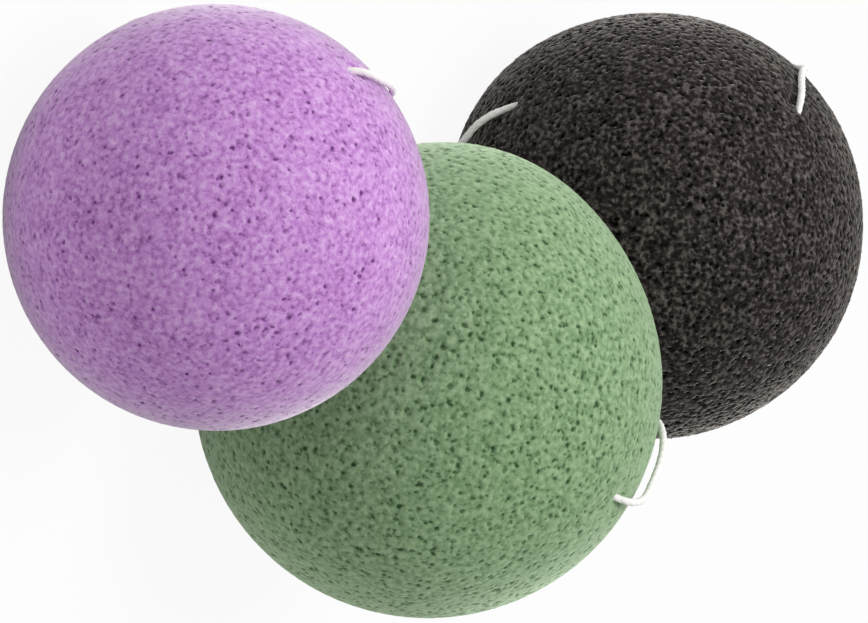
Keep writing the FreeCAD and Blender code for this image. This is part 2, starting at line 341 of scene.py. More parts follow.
@dataclass(frozen=True)
class FoamFinish:
    """Colour, pores and sheen of one sponge's foam.

    Attributes:
        name: Name of the material.
        slot: Material slot of the record; not used.
        wall: Colour of the foam between pores.
        pale_and_highlight: Colour of its palest walls, reached partly by random pale patches of the skin and
            partly by the painted highlight on the tips of the walls.
        pore_shade: Painted shade inside the pores, the colour that the darkest pores reach.
        layers: Large pores and small pores, darkened with painted shade, and the tips of the walls,
            lightened with a painted highlight.
        wall_tone: Tone of the foam between pores, where 0 is the painted shade of the pores, 0.5 wall and 1
            the palest colour.
        skin_size_mm: Size of the uneven patches between pores.
        skin_shade: How much the patches differ in tone.
        grain_shade: How much the finest grain differs in tone.
        mottle: Strength of the cloudy change of colour.
        ridge_mm: Height of the uneven skin between pores.
        relief: Strength of the bump that the mesh is too coarse for.
        sheen: Strength of the whitish bloom at grazing angles.
        sheen_spread: Roughness of that bloom.
        sheen_tint: Colour of that bloom.
        gloss: Specular level of the damp cell walls.
        roughness: Roughness of the walls.
        seed: Shift of the pattern, so that no two balls are alike.
    """

    name: str
    slot: str
    wall: Colour
    pale_and_highlight: Colour
    pore_shade: Colour
    layers: tuple[PoreLayer, ...]
    wall_tone: float
    skin_size_mm: float
    skin_shade: float
    grain_shade: float
    mottle: float
    ridge_mm: float
    relief: float
    sheen: float
    sheen_spread: float
    sheen_tint: Colour
    gloss: float
    roughness: float
    seed: float

    def pores(self, bench: NodeBench, place: bpy.types.NodeSocket) -> dict[str, bpy.types.NodeSocket]:
        """Lay out the pores, the tips and the uneven skin.

        Args:
            bench: Tree to add to.
            place: Coordinates in metres.

        Returns:
            Outputs "tone", of the colour, "height", in metres, and "place", in millimetres.
        """
        shifted = bench.add("ShaderNodeVectorMath", operation="ADD")
        bench.feed(shifted.inputs[0], bench.scaled(place, MM_PER_M))
        shifted.inputs[1].default_value = (self.seed, 2.0 * self.seed, -self.seed)
        warp = bench.noise(shifted.outputs[0], WARP)
        centred = bench.add("ShaderNodeVectorMath", operation="SUBTRACT")
        bench.feed(centred.inputs[0], warp.outputs["Color"])
        centred.inputs[1].default_value = (NOISE_MIDDLE, NOISE_MIDDLE, NOISE_MIDDLE)
        bent = bench.add("ShaderNodeVectorMath", operation="ADD")
        bench.feed(bent.inputs[0], shifted.outputs[0])
        bench.feed(bent.inputs[1], bench.scaled(centred.outputs[0], WARP_MM))
        patches = NoisePattern(scale=1.0 / self.skin_size_mm, detail=SKIN_DETAIL, rough=SKIN_ROUGH)
        skin = bench.noise(shifted.outputs[0], patches).outputs["Fac"]
        uneven = bench.math("SUBTRACT", skin, NOISE_MIDDLE)
        tone = bench.math("MULTIPLY_ADD", uneven, self.skin_shade, self.wall_tone)
        height = bench.math("MULTIPLY", uneven, M_PER_MM * self.ridge_mm)
        for layer in self.layers:
            mask = layer.mask(bench, bent.outputs[0])
            # A pore darkens the tone with painted shade; a tip, whose shade is negative, lightens it with a
            # painted highlight.
            tone = bench.math("MULTIPLY_ADD", mask, -layer.shade, tone)
            height = bench.math("MULTIPLY_ADD", mask, -M_PER_MM * layer.depth, height)
        return {"tone": tone, "height": height, "place": shifted.outputs[0]}

    def pit_tree(self) -> bpy.types.NodeTree:
        """Geometry tree that sinks the pores into a mesh.

        Returns:
            The node tree for a Geometry Nodes modifier.
        """
        tree = bpy.data.node_groups.new(self.name + "_pits", "GeometryNodeTree")
        tree.interface.new_socket(name="Geometry", in_out="INPUT", socket_type="NodeSocketGeometry")
        tree.interface.new_socket(name="Geometry", in_out="OUTPUT", socket_type="NodeSocketGeometry")
        bench = NodeBench(tree)
        start = bench.add("NodeGroupInput")
        end = bench.add("NodeGroupOutput")
        place = bench.add("GeometryNodeInputPosition")
        field_of_pores = self.pores(bench, place.outputs[0])
        normal = bench.add("GeometryNodeInputNormal")
        push = bench.add("ShaderNodeVectorMath", operation="SCALE")
        bench.feed(push.inputs[0], normal.outputs[0])
        bench.feed(push.inputs["Scale"], field_of_pores["height"])
        move = bench.add("GeometryNodeSetPosition")
        bench.feed(move.inputs["Geometry"], start.outputs[0])
        bench.feed(move.inputs["Offset"], push.outputs[0])
        bench.feed(end.inputs[0], move.outputs[0])
        return tree

    def material(self) -> bpy.types.Material:
        """Build the foam's material.

        Returns:
            Material with the same pores as the mesh, and finer ones than it can hold.
        """
        material = bpy.data.materials.new(self.name)
        material.use_nodes = True
        tree = material.node_tree
        bench = NodeBench(tree)
        shader = tree.nodes["Principled BSDF"]
        rest = bench.add("ShaderNodeAttribute", attribute_name=REST_PLACE)
        found = self.pores(bench, rest.outputs["Vector"])
        cloud = bench.noise(found["place"], CLOUD).outputs["Fac"]
        grain = bench.noise(found["place"], GRAIN).outputs["Fac"]
        fine = bench.math("SUBTRACT", grain, NOISE_MIDDLE)
        tone = bench.math("MULTIPLY_ADD", fine, self.grain_shade, found["tone"])
        broad = bench.math("SUBTRACT", cloud, NOISE_MIDDLE)
        tone = bench.math("MULTIPLY_ADD", broad, self.mottle, tone)
        # Low tone mixes from the painted shade of the pores to the wall colour, high tone from there to the
        # palest colour, which the wall tips reach as a painted highlight.
        dark_half = bench.mix(bench.math("MULTIPLY", tone, 2.0), self.pore_shade, self.wall)
        light_share = bench.math("MULTIPLY_ADD", tone, 2.0, -1.0)
        bench.feed(shader.inputs["Base Color"], bench.mix(light_share, dark_half, self.pale_and_highlight))
        bump = bench.add("ShaderNodeBump")
        bump.inputs["Strength"].default_value = self.relief
        bump.inputs["Distance"].default_value = 1.0
        rough_skin = bench.math("MULTIPLY", grain, GRAIN_HEIGHT)
        bench.feed(bump.inputs["Height"], bench.math("ADD", found["height"], rough_skin))
        bench.feed(shader.inputs["Normal"], bump.outputs[0])
        shader.inputs["Roughness"].default_value = self.roughness
        shader.inputs["Specular IOR Level"].default_value = self.gloss
        shader.inputs["Sheen Weight"].default_value = self.sheen
        shader.inputs["Sheen Roughness"].default_value = self.sheen_spread
        shader.inputs["Sheen Tint"].default_value = (*self.sheen_tint, 1.0)
        return material


@dataclass(frozen=True)
class CottonFinish:
    """Undyed twisted cotton.

    Attributes:
        name: Name of the material.
        slot: Material slot of the record; not used.
        fibre: Colour of the yarn on the backs of its fibres.
        groove: Colour between its fibres, darkened with painted shade.
        fibres: Pattern of the fibres along each ply.
        groove_level: Noise at which the colour is the groove's.
        fibre_level: Noise at which the colour is the fibre's.
        relief: Strength of the fibres' bump.
        relief_height: Height of that bump.
        roughness: Roughness of the yarn.
        gloss: Its specular level.
        sheen: Strength of its bloom at grazing angles.
        sheen_spread: Roughness of that bloom.
    """

    name: str = "cotton_string"
    slot: str = "cotton_string"
    fibre: Colour = (0.94, 0.93, 0.905)
    groove: Colour = (0.80, 0.785, 0.75)
    fibres: NoisePattern = NoisePattern(scale=1.0, detail=3.0, rough=0.6)
    groove_level: float = 0.34
    fibre_level: float = 0.62
    relief: float = 0.6
    relief_height: float = 0.0001
    roughness: float = 0.9
    gloss: float = 0.2
    sheen: float = 0.25
    sheen_spread: float = 0.6

    def material(self) -> bpy.types.Material:
        """Build the cotton's material.

        Returns:
            Material with fibres that run along each ply.
        """
        material = bpy.data.materials.new(self.name)
        material.use_nodes = True
        tree = material.node_tree
        bench = NodeBench(tree)
        shader = tree.nodes["Principled BSDF"]
        run = bench.add("ShaderNodeAttribute", attribute_name=STRAND_RUN)
        fibres = bench.noise(run.outputs["Vector"], self.fibres).outputs["Fac"]
        # Where the fibre noise is low the yarn lies lower and takes the darker groove colour, a painted
        # shade.
        share = bench.ramp(fibres, self.groove_level, self.fibre_level, 0.0, 1.0)
        bench.feed(shader.inputs["Base Color"], bench.mix(share, self.groove, self.fibre))
        bump = bench.add("ShaderNodeBump")
        bump.inputs["Strength"].default_value = self.relief
        bump.inputs["Distance"].default_value = self.relief_height
        bench.feed(bump.inputs["Height"], fibres)
        bench.feed(shader.inputs["Normal"], bump.outputs[0])
        shader.inputs["Roughness"].default_value = self.roughness
        shader.inputs["Specular IOR Level"].default_value = self.gloss
        shader.inputs["Sheen Weight"].default_value = self.sheen
        shader.inputs["Sheen Roughness"].default_value = self.sheen_spread
        return material


@dataclass(frozen=True)
class Lump:
    """A broad swelling or hollow of a hand-moulded ball.

    Attributes:
        towards: Direction from the ball's centre.
        height: How far the skin stands out, negative for a hollow.
        spread_deg: Angle at which it has faded to about a third.
    """

    towards: Point
    height: float
    spread_deg: float


@dataclass
class FoamBall:
    """One foam ball with its flat foot, its pores and the dents that its string pulls.

    Attributes:
        node: CAD node that the ball stands for, and its body.
        finish: Foam finish.
        radius: Radius of the ball.
        foot_sink: How much of the ball the flat foot takes off.
        foot_fillet: Radius of the foot's edge.
        axis_x: Place of the ball's upright axis.
        axis_y: Place of the ball's upright axis.
        exits_deg: Bearing and tilt of each exit of the string.
        lumps: Swellings and hollows.
        dent_radius: Radius of the dent at each exit.
        dent_depth: Depth of that dent.
        cuts: Cuts across each side of the cube that the ball starts from.
        levels: Times that the cube is halved after that.
        piece: The finished object, once it is built.
    """

    node: str
    finish: FoamFinish
    radius: float
    foot_sink: float
    axis_x: float
    axis_y: float
    exits_deg: dict[Exit, tuple[float, float]]
    lumps: tuple[Lump, ...] = ()
    foot_fillet: float = 0.008
    dent_radius: float = 0.0020
    dent_depth: float = 0.0007
    cuts: int = 2
    levels: int = 6
    piece: bpy.types.Object | None = field(default=None, init=False)

    @property
    def height(self) -> float:
        """Height of the ball's centre above the floor."""
        return self.radius - self.foot_sink

    @property
    def centre(self) -> Vector:
        """Centre of the ball."""
        return Vector((self.axis_x, self.axis_y, self.height))

    @property
    def foot(self) -> Vector:
        """Point of the floor under the ball's centre."""
        return Vector((self.axis_x, self.axis_y, 0.0))

    def exit_normal(self, end: Exit) -> Vector:
        """Direction from the centre to an exit.

        Args:
            end: Which exit.

        Returns:
            Unit vector.
        """
        bearing, tilt = (math.radians(angle) for angle in self.exits_deg[end])
        flat = math.cos(tilt)
        return Vector((flat * math.cos(bearing), flat * math.sin(bearing), math.sin(tilt)))

    def exit_point(self, end: Exit) -> Vector:
        """Place of an exit on the ball.

        Args:
            end: Which exit.

        Returns:
            Point in the part's frame.
        """
        return self.centre + self.exit_normal(end) * self.radius

    def reach(self, towards: np.ndarray) -> np.ndarray:
        """Distance from the centre to the plain skin, foot included.

        Args:
            towards: Unit vectors, one a row.

        Returns:
            One distance a row.
        """
        flat = np.linalg.norm(towards[:, :2], axis=1)
        drop = -towards[:, 2]
        edge = math.sqrt((self.radius - self.foot_fillet) ** 2 - (self.height - self.foot_fillet) ** 2)
        low = self.height - self.foot_fillet
        far = np.full(len(towards), self.radius)
        along = edge * flat + low * drop
        across = along ** 2 - (edge ** 2 + low ** 2 - self.foot_fillet ** 2)
        on_edge = (drop * edge > low * flat) & (across > 0)
        far[on_edge] = along[on_edge] + np.sqrt(across[on_edge])
        under = (drop > LEAST_DROP) & (flat * self.height <= edge * drop)
        far[under] = self.height / drop[under]
        return far

    def build(self) -> bpy.types.Object:
        """Model the ball.

        Returns:
            The finished mesh object.
        """
        deselect_everything()
        bpy.ops.mesh.primitive_cube_add(size=2.0)
        piece = bpy.context.object
        piece.name = self.node + "_foam"
        piece.data.name = piece.name
        bpy.ops.object.mode_set(mode="EDIT")
        bpy.ops.mesh.select_all(action="SELECT")
        bpy.ops.mesh.subdivide(number_cuts=self.cuts)
        bpy.ops.object.mode_set(mode="OBJECT")
        finer = piece.modifiers.new("finer", "SUBSURF")
        finer.subdivision_type = "SIMPLE"
        finer.levels = self.levels
        finer.render_levels = self.levels
        bpy.ops.object.modifier_apply(modifier=finer.name)
        self.shape(piece)
        pits = piece.modifiers.new("pits", "NODES")
        pits.node_group = self.finish.pit_tree()
        make_active(piece)
        bpy.ops.object.modifier_apply(modifier=pits.name)
        self.settle(piece)
        bpy.ops.object.shade_smooth()
        self.piece = piece
        return piece

    def shape(self, piece: bpy.types.Object) -> None:
        """Bring a subdivided cube to the ball's form and lay out its UV map.

        Args:
            piece: Cube of two units, subdivided.
        """
        mesh = piece.data
        cube = vertex_places(mesh).astype(np.float64)
        self.lay_out(mesh, cube)
        towards = np.tan(cube * (math.pi / 4))
        towards /= np.linalg.norm(towards, axis=1)[:, None]
        far = self.reach(towards)
        for lump in self.lumps:
            toward = np.array(Vector(lump.towards).normalized())
            away = np.degrees(np.arccos(np.clip(towards @ toward, -1.0, 1.0)))
            far += lump.height * np.exp(-((away / lump.spread_deg) ** 2))
        place = towards * far[:, None] + np.array(self.centre)
        rest = place.copy()
        for end in Exit:
            normal = np.array(self.exit_normal(end))
            away = np.linalg.norm(place - np.array(self.exit_point(end)), axis=1)
            dent = self.dent_depth * np.exp(-((away / self.dent_radius) ** 2))
            place -= normal * dent[:, None]
        mesh.vertices.foreach_set("co", place.astype(np.float32).ravel())
        kept = mesh.attributes.new(REST_PLACE, "FLOAT_VECTOR", "POINT")
        kept.data.foreach_set("vector", rest.astype(np.float32).ravel())
        mesh.update()

    @staticmethod
    def lay_out(mesh: bpy.types.Mesh, cube: np.ndarray) -> None:
        """Give each side of the cube its own tile of the UV map.

        Args:
            mesh: Mesh of the subdivided cube.
            cube: Its vertices.
        """
        corners = np.empty(len(mesh.loops), np.int32)
        mesh.loops.foreach_get("vertex_index", corners)
        at = cube[corners].reshape(-1, 4, 3)
        middle = at.mean(axis=1)
        side = np.abs(middle).argmax(axis=1)
        front = middle[np.arange(len(side)), side] > 0
        others = np.array([[1, 2], [2, 0], [0, 1]])[side]
        first = np.take_along_axis(at, others[:, None, :1].repeat(4, axis=1), axis=2)[:, :, 0]
        second = np.take_along_axis(at, others[:, None, 1:].repeat(4, axis=1), axis=2)[:, :, 0]
        first = np.where(front[:, None], first, -first)
        u = (side[:, None] + 0.5 + UV_TILE_REACH * first) / UV_COLUMNS
        v = (front[:, None] + 0.5 + UV_TILE_REACH * second) / UV_ROWS
        layer = mesh.uv_layers[0] if mesh.uv_layers else mesh.uv_layers.new(name="UVMap")
        layer.uv.foreach_set("vector", np.stack([u, v], axis=2).astype(np.float32).ravel())

    def settle(self, piece: bpy.types.Object) -> None:
        """Keep the pitted skin on or above the floor.

        Args:
            piece: The ball after its pores were sunk.
        """
        mesh = piece.data
        place = vertex_places(mesh)
        place[:, 2] = np.maximum(place[:, 2], 0.0)
        mesh.vertices.foreach_set("co", place.ravel())
        mesh.update()

    def dress(self) -> None:
        """Give the ball its finish and tell the frame what it stands for."""
        self.piece.data.materials.clear()
        self.piece.data.materials.append(self.finish.material())
        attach(self.piece, self.node)
        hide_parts(self.node)
        LOG.info("%s has %d faces", self.piece.name, len(self.piece.data.polygons))


def smooth_line(route: list[Vector], step: float) -> np.ndarray:
    """Points along a NURBS curve that has a route as its control points.

    Args:
        route: Control points.
        step: Distance between the points.

    Returns:
        Points at even steps, one a row.
    """
    curve = bpy.data.curves.new("route", "CURVE")
    curve.dimensions = "3D"
    spline = curve.splines.new("NURBS")
    spline.points.add(len(route) - 1)
    for point, place in zip(spline.points, route):
        point.co = (*place, 1.0)
    spline.order_u = ROUTE_ORDER
    spline.use_endpoint_u = True
    spline.resolution_u = ROUTE_RESOLUTION
    holder = bpy.data.objects.new("route", curve)
    line = bpy.data.meshes.new_from_object(holder)
    points = np.array([vertex.co[:] for vertex in line.vertices])
    bpy.data.objects.remove(holder)
    bpy.data.curves.remove(curve)
    bpy.data.meshes.remove(line)
    lengths = lengths_along(points)
    keep = np.concatenate([[True], np.diff(lengths) > SHORTEST_STEP])
    count = max(FEWEST_LINE_POINTS, int(lengths[-1] / step))
    wanted = np.linspace(0.0, lengths[-1], count)
    return np.stack([np.interp(wanted, lengths[keep], points[keep, axis]) for axis in range(3)], axis=1)


@dataclass(frozen=True)
class TwistedCord:
    """How cotton yarn is laid up into soft string.

    Attributes:
        diameter: Diameter of the string.
        plies: Number of yarns.
        lay_length: Length of one full twist.
        groove: Depth of the grooves between yarns, as a share of the radius.
        groove_spread: How far a groove reaches up the yarns beside it, where 1 is their backs.
        sides: Sides of the string.
        step: Distance between rings.
        fray: Length over which the yarns open at a cut end.
        fray_groove: How much deeper the grooves are there.
        fray_swell: How much wider the string is there.
        slubs: Waves of uneven thickness: share of the radius, radians a metre and phase.
        fibres_along: Features of the fibre pattern to a metre of string.
        fibres_round: Radius of the ring that the fibre pattern is read from.
    """

    diameter: float = STRING_DIAMETER
    plies: int = 3
    lay_length: float = 0.0045
    groove: float = 0.13
    groove_spread: float = 0.42
    sides: int = 21
    step: float = 0.00025
    fray: float = 0.0025
    fray_groove: float = 2.0
    fray_swell: float = 0.18
    slubs: tuple[tuple[float, float, float], ...] = ((0.03, 1900.0, 0.0), (0.02, 4700.0, 1.0))
    fibres_along: float = 500.0
    fibres_round: float = 3.0

    def build(self, name: str, line: np.ndarray, frayed_end: bool) -> bpy.types.Object:
        """Model a length of string.

        Args:
            name: Name of the object.
            line: Points along its middle.
            frayed_end: Whether its last end is cut and open.

        Returns:
            Mesh object.
        """
        run = lengths_along(line)
        ahead = np.gradient(line, axis=0)
        ahead /= np.linalg.norm(ahead, axis=1)[:, None]
        side = self.carried_side(ahead)
        across = np.cross(ahead, side)
        angle = np.arange(self.sides) * (2 * math.pi / self.sides)
        twist = 2 * math.pi * run / self.lay_length
        turned = angle[None, :] - twist[:, None]
        over = np.cos(0.5 * self.plies * turned)
        left = np.clip(1.0 - (run[-1] - run) / self.fray, 0.0, 1.0) ** 2
        opened = left if frayed_end else np.zeros_like(run)
        deepest = self.groove * (1.0 + self.fray_groove * opened)[:, None]
        depth = deepest * np.exp(-((over / self.groove_spread) ** 2))
        swell = np.ones_like(run)
        for share, waves, phase in self.slubs:
            swell += share * np.sin(run * waves + phase)
        swell += self.fray_swell * opened
        wide = 0.5 * self.diameter * swell[:, None] * (1.0 - depth)
        ring = np.cos(angle)[:, None, None] * side + np.sin(angle)[:, None, None] * across
        verts = line[:, None, :] + ring.transpose(1, 0, 2) * wide[:, :, None]
        along = np.broadcast_to(self.fibres_along * run[:, None], turned.shape)
        marks = np.stack([along, np.cos(turned), np.sin(turned)], axis=2)
        marks[:, :, 1:] *= self.fibres_round
        mesh = bpy.data.meshes.new(name)
        mesh.from_pydata(verts.reshape(-1, 3).tolist(), [], self.skin(len(run)))
        kept = mesh.attributes.new(STRAND_RUN, "FLOAT_VECTOR", "POINT")
        kept.data.foreach_set("vector", marks.astype(np.float32).ravel())
        mesh.update()
        piece = bpy.data.objects.new(name, mesh)
        bpy.context.scene.collection.objects.link(piece)
        make_active(piece)
        bpy.ops.object.shade_smooth()
        return piece

    def skin(self, rings: int) -> list[tuple[int, ...]]:
        """Faces of a length of string.

        Args:
            rings: Number of its rings.

        Returns:
            Quads along the string and a cap at each end.
        """
        faces: list[tuple[int, ...]] = []
        for ring in range(rings - 1):
            here = ring * self.sides
            beyond = here + self.sides
            for corner in range(self.sides):
                after = (corner + 1) % self.sides
                faces.append((here + corner, here + after, beyond + after, beyond + corner))
        last = (rings - 1) * self.sides
        faces.append(tuple(reversed(range(self.sides))))
        faces.append(tuple(range(last, last + self.sides)))
        return faces

    @staticmethod
    def carried_side(ahead: np.ndarray) -> np.ndarray:
        """Sideways directions that turn no more than the line does.

        Args:
            ahead: Directions along the line.

        Returns:
            Unit vectors square to them.
        """
        start = Vector(ahead[0]).orthogonal().normalized()
        found = [np.array(start)]
        for index in range(1, len(ahead)):
            before = found[-1]
            carried = before - ahead[index] * float(before @ ahead[index])
            found.append(carried / np.linalg.norm(carried))
        return np.array(found)


@dataclass
class StringLoop:
    """The string of one ball: the run inside the foam, two free strands and the knot.

    Attributes:
        ball: Ball that the string is threaded through.
        prefix: First word of the CAD nodes' names.
        body: Body that the string moves with.
        long_exit: Exit that the long strand leaves by.
        long_route: Points of the long strand, from the ball's foot.
        short_route: Points of the short strand, from the ball's foot.
        long_length: Length of the long strand.
        short_length: Length of the short strand.
        cord: How the string is laid up.
        finish: Cotton finish; not used.
        knot_turns: Turns of the knot.
        knot_points: Control points of one turn.
        knot_pitch: Distance from one turn to the next.
        knot_squeeze: How far the turns press into the strands.
        knot_lean: How far a turn leans along the strands.
        knot_lean_start: Angle at which the lean starts.
        knot_uneven: How much the turns differ in width, as a share.
        knot_waves: How often that happens in a turn.
        knot_stretch: Indices of the two points of a route that hold its straight stretch under the knot.
        knot_tucks: How far the knot's first and last end go in between the strands.
        lines: Middle line of each strand, once it is built.
        pieces: The finished objects, once they are built.
    """

    ball: FoamBall
    prefix: str
    body: str
    long_exit: Exit
    long_route: tuple[Point, ...]
    short_route: tuple[Point, ...]
    long_length: float
    short_length: float
    cord: TwistedCord = TwistedCord()
    finish: CottonFinish = CottonFinish()
    knot_turns: float = 2.5
    knot_points: int = 12
    knot_pitch: float = 0.00160
    knot_squeeze: float = 0.00005
    knot_lean: float = 0.00035
    knot_lean_start: float = 0.6
    knot_uneven: float = 0.03
    knot_waves: float = 2.3
    knot_stretch: tuple[int, int] = (-4, -3)
    knot_tucks: tuple[Point, Point] = ((-0.0006, -0.0004, -0.0010), (0.0006, 0.0004, -0.0010))
    lines: dict[str, np.ndarray] = field(default_factory=dict, init=False)
    pieces: dict[str, bpy.types.Object] = field(default_factory=dict, init=False)

    def control_points(self, route: tuple[Point, ...]) -> list[Vector]:
        """Whole route of a strand in the part's frame.

        Args:
            route: Its points from the ball's foot.

        Returns:
            Control points from inside the foam to the cut end.
        """
        return [self.ball.foot + Vector(point) for point in route]

    def build(self) -> None:
        """Model the four pieces of string."""
        for piece_name, route in (("long_strand", self.long_route), ("short_strand", self.short_route)):
            line = smooth_line(self.control_points(route), self.cord.step)
            self.lines[piece_name] = line
            LOG.info("%s %s is %.4f long", self.prefix, piece_name, lengths_along(line)[-1])
            name = f"{self.prefix}_{piece_name}_cotton"
            self.pieces[piece_name] = self.cord.build(name, line, frayed_end=True)
        upper = self.ball.exit_point(Exit.UPPER)
        lower = self.ball.exit_point(Exit.LOWER)
        along = (upper - lower).normalized()
        ends_of_run = np.array([lower + along * THREAD_INSET, upper - along * THREAD_INSET])
        steps = np.linspace(0.0, 1.0, THREADED_RUN_POINTS)[:, None]
        run = ends_of_run[0] * (1.0 - steps) + ends_of_run[1] * steps
        for piece_name, line in (("threaded_run", run), ("knot", self.knot_line())):
            name = f"{self.prefix}_{piece_name}_cotton"
            self.pieces[piece_name] = self.cord.build(name, line, frayed_end=False)

    def knot_line(self) -> np.ndarray:
        """Line of the turns that tie the strands together.

        Returns:
            Points along the turns, with both ends tucked in between the strands.
        """
        long_run = [Vector(self.long_route[index]) for index in self.knot_stretch]
        short_run = [Vector(self.short_route[index]) for index in self.knot_stretch]
        middle = (long_run[0] + long_run[1] + short_run[0] + short_run[1]) * 0.25 + self.ball.foot
        radius = (long_run[0] - short_run[0]).length / 2 + self.cord.diameter - self.knot_squeeze
        count = int(self.knot_turns * self.knot_points)
        points = []
        for index in range(count + 1):
            angle = index * 2 * math.pi / self.knot_points
            along = self.knot_pitch * (index / self.knot_points - self.knot_turns / 2)
            lean = self.knot_lean * math.sin(angle + self.knot_lean_start)
            wide = radius * (1.0 + self.knot_uneven * math.sin(self.knot_waves * angle))
            turn = Vector((wide * math.cos(angle), along + lean, wide * math.sin(angle)))
            points.append(middle + turn)
        first = points[0] + Vector(self.knot_tucks[0])
        last = points[-1] + Vector(self.knot_tucks[1])
        return smooth_line([first] + points + [last], self.cord.step)

    def dress(self, cotton: bpy.types.Material) -> None:
        """Give the string its finish and tell the frame what each piece stands for.

        Args:
            cotton: The material of all string.
        """
        for piece_name, piece in self.pieces.items():
            piece.data.materials.append(cotton)
            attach(piece, self.body)
            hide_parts(f"{self.prefix}_{piece_name}")
            LOG.info("%s has %d faces", piece.name, len(piece.data.polygons))
        facts = {
            "long_strand": (self.long_exit, self.long_length, [self.pieces["knot"]]),
            "short_strand": (self.long_exit.other, self.short_length, []),
        }
        for piece_name, (end, length, others) in facts.items():
            tuple(self.ball.exit_point(end))


@dataclass(frozen=True)
class SoftLamp:
    """A square soft lamp that shines on the sponges.

    Attributes:
        name: Name of the lamp.
        towards: Direction of the lamp from the sponges.
        away: Its distance.
        width: Its side.
        watts: Its power.
    """

    name: str
    towards: Point
    away: float
    width: float
    watts: float


@dataclass
class Studio:
    """Pale floor, soft light and the camera at the photograph's angle.

    Attributes:
        aim: Point that the camera looks at.
        distance: Distance of the camera from it.
        elevation_deg: Camera's height above the horizon.
        roll_deg: Camera's turn about its own axis.
        lens_mm: Focal length.
        sensor_mm: Width of the sensor.
        clip: Nearest and farthest distance in view.
        floor_size: Side of the floor.
        floor_drop: How far the floor lies under the sponges.
        floor_grey: How much light the floor sends back.
        floor_white: How much of the seen floor is plain white.
        sky_light: Strength of the surroundings as light.
        sky_seen: Strength of the surroundings in view.
        lamps: The lamps.
    """

    aim: Point = (0.004855, -0.003105, 0.03483)
    distance: float = 1.5
    elevation_deg: float = 30.077
    roll_deg: float = 103.618
    lens_mm: float = 360.5
    sensor_mm: float = 36.0
    clip: tuple[float, float] = (0.05, 50.0)
    floor_size: float = 12.0
    floor_drop: float = 0.0004
    floor_grey: float = 0.72
    floor_white: float = 0.93
    sky_light: float = 0.47
    sky_seen: float = 1.0
    lamps: tuple[SoftLamp, ...] = (
        SoftLamp(name="key", towards=(-0.36, -0.04, 0.93), away=1.2, width=0.6, watts=10.8),
        SoftLamp(name="side", towards=(-0.95, 0.25, 0.2), away=1.4, width=0.9, watts=3.0),
    )

    def camera(self) -> None:
        """Set the camera."""
        rise = math.radians(self.elevation_deg)
        roll = math.radians(self.roll_deg)
        right = Vector((1.0, 0.0, 0.0))
        up = Vector((0.0, math.sin(rise), math.cos(rise)))
        back = Vector((0.0, -math.cos(rise), math.sin(rise)))
        across = right * math.cos(roll) + up * math.sin(roll)
        upward = up * math.cos(roll) - right * math.sin(roll)
        turn = Matrix((across, upward, back)).transposed().to_4x4()
        place = Vector(self.aim) + back * self.distance
        data = bpy.data.cameras.new("camera")
        data.lens = self.lens_mm
        data.sensor_width = self.sensor_mm
        data.clip_start, data.clip_end = self.clip
        camera = bpy.data.objects.new("camera", data)
        camera.matrix_world = Matrix.Translation(place) @ turn
        bpy.context.scene.collection.objects.link(camera)
        bpy.context.scene.camera = camera

    def floor(self) -> None:
        """Lay a wide white floor that shows a faint shadow."""
        deselect_everything()
        bpy.ops.mesh.primitive_plane_add(size=self.floor_size, location=(0.0, 0.0, -self.floor_drop))
        plane = bpy.context.object
        plane.name = "floor"
        material = bpy.data.materials.new("floor_white")
        material.use_nodes = True
        tree = material.node_tree
        tree.nodes.clear()
        bench = NodeBench(tree)
        rays = bench.add("ShaderNodeLightPath")
        seen = bench.math("MAXIMUM", rays.outputs["Is Camera Ray"], rays.outputs["Is Glossy Ray"])
        seen = bench.math("MAXIMUM", seen, rays.outputs["Is Transmission Ray"])
        matt = bench.add("ShaderNodeBsdfDiffuse")
        matt.inputs["Color"].default_value = (self.floor_grey, self.floor_grey, self.floor_grey, 1.0)
        glow = bench.add("ShaderNodeEmission")
        glow.inputs["Strength"].default_value = 1.0
        both = bench.add("ShaderNodeMixShader")
        bench.feed(both.inputs[0], bench.math("MULTIPLY", seen, self.floor_white))
        bench.feed(both.inputs[1], matt.outputs[0])
        bench.feed(both.inputs[2], glow.outputs[0])
        out = bench.add("ShaderNodeOutputMaterial")
        bench.feed(out.inputs["Surface"], both.outputs[0])
        plane.data.materials.append(material)

    def hang(self, lamp: SoftLamp) -> None:
        """Put up a lamp.

        Args:
            lamp: The lamp's place, size and power.
        """
        data = bpy.data.lights.new(lamp.name, "AREA")
        data.shape = "SQUARE"
        data.size = lamp.width
        data.energy = lamp.watts
        holder = bpy.data.objects.new(lamp.name, data)
        place = Vector(lamp.towards).normalized() * lamp.away
        holder.location = Vector(self.aim) + place
        holder.rotation_euler = place.to_track_quat("Z", "Y").to_euler()
        bpy.context.scene.collection.objects.link(holder)

    def light(self) -> None:
        """Set the lamps and the white surroundings."""
        for lamp in self.lamps:
            self.hang(lamp)
        world = bpy.data.worlds.new("surroundings")
        bpy.context.scene.world = world
        world.use_nodes = True
        tree = world.node_tree
        bench = NodeBench(tree)
        background = tree.nodes["Background"]
        rays = bench.add("ShaderNodeLightPath")
        background.inputs["Color"].default_value = (1.0, 1.0, 1.0, 1.0)
        seen = bench.ramp(rays.outputs["Is Camera Ray"], 0.0, 1.0, self.sky_light, self.sky_seen)
        bench.feed(background.inputs["Strength"], seen)

    def build(self) -> None:
        """Set camera, floor and light."""
        scene = bpy.context.scene
        scene.view_settings.view_transform = "Standard"
        self.camera()
        self.floor()
        self.light()
